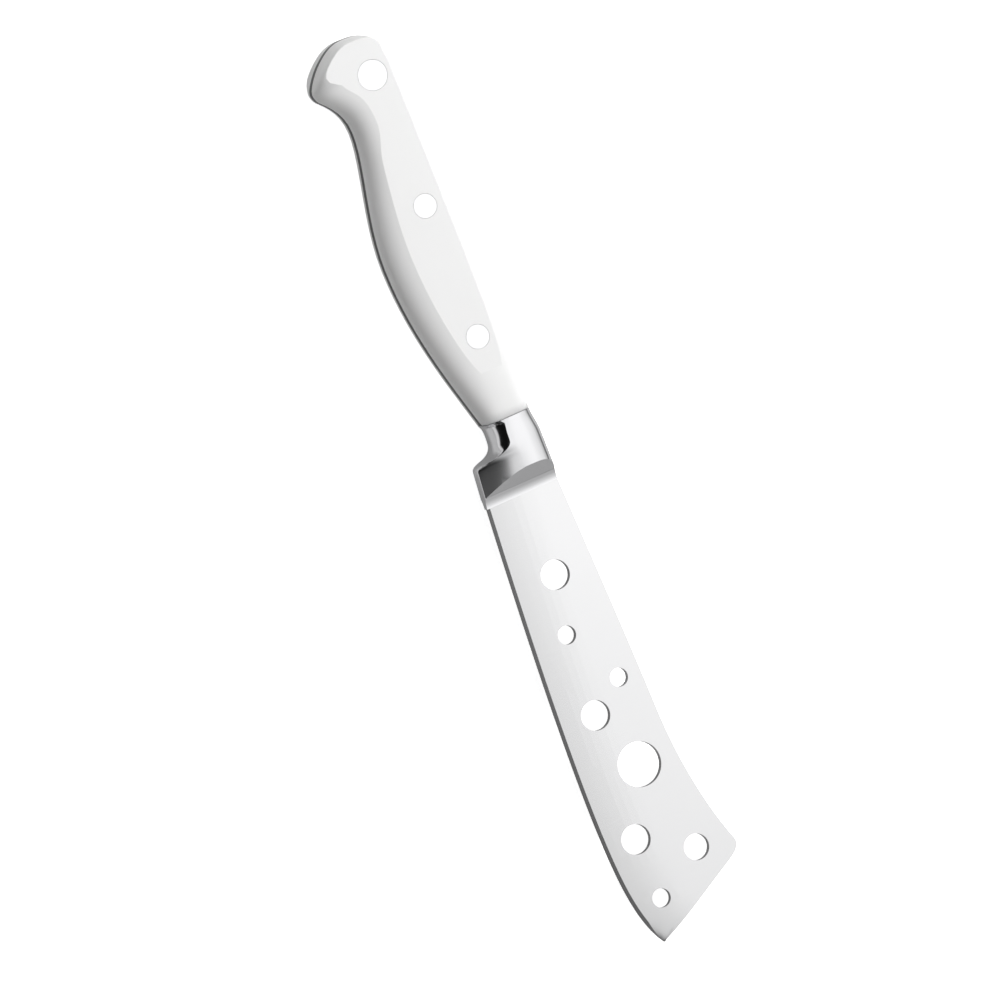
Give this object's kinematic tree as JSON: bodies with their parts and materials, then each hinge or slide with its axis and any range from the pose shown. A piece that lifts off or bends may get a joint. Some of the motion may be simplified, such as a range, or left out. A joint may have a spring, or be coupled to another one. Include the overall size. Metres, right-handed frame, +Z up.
{
  "type": "cheese knife",
  "caption": "Cheese knife with a wide holed blade that sweeps up to a pointed nose, a polished bolster with finger guard, and a hooked white handle riveted to a full tang.",
  "frame": {"origin": "centre of the bounding box in plan, on the surface that the knife's lower cheek lies on", "axes": "+X along the knife towards the tip, +Y across the blade towards the spine, +Z up, out of the face that the picture shows"},
  "size_m": [0.25, 0.0341, 0.014],
  "materials": {
    "blade_steel": "stainless steel, fine satin grind across the blade",
    "polished_steel": "stainless steel, mirror polished",
    "tang_steel": "stainless steel, belt-ground edge",
    "scale_polymer": "white polymer, buffed to a soft gloss"
  },
  "bodies": {
    "root": {"blade": "blade_steel", "bolster": "polished_steel", "tang": "tang_steel", "upper_scale": "scale_polymer", "lower_scale": "scale_polymer", "front_rivet_post": "polished_steel", "front_rivet_socket": "polished_steel", "middle_rivet_post": "polished_steel", "middle_rivet_socket": "polished_steel", "butt_rivet_post": "polished_steel", "butt_rivet_socket": "polished_steel"}
  },
  "joints": []
}
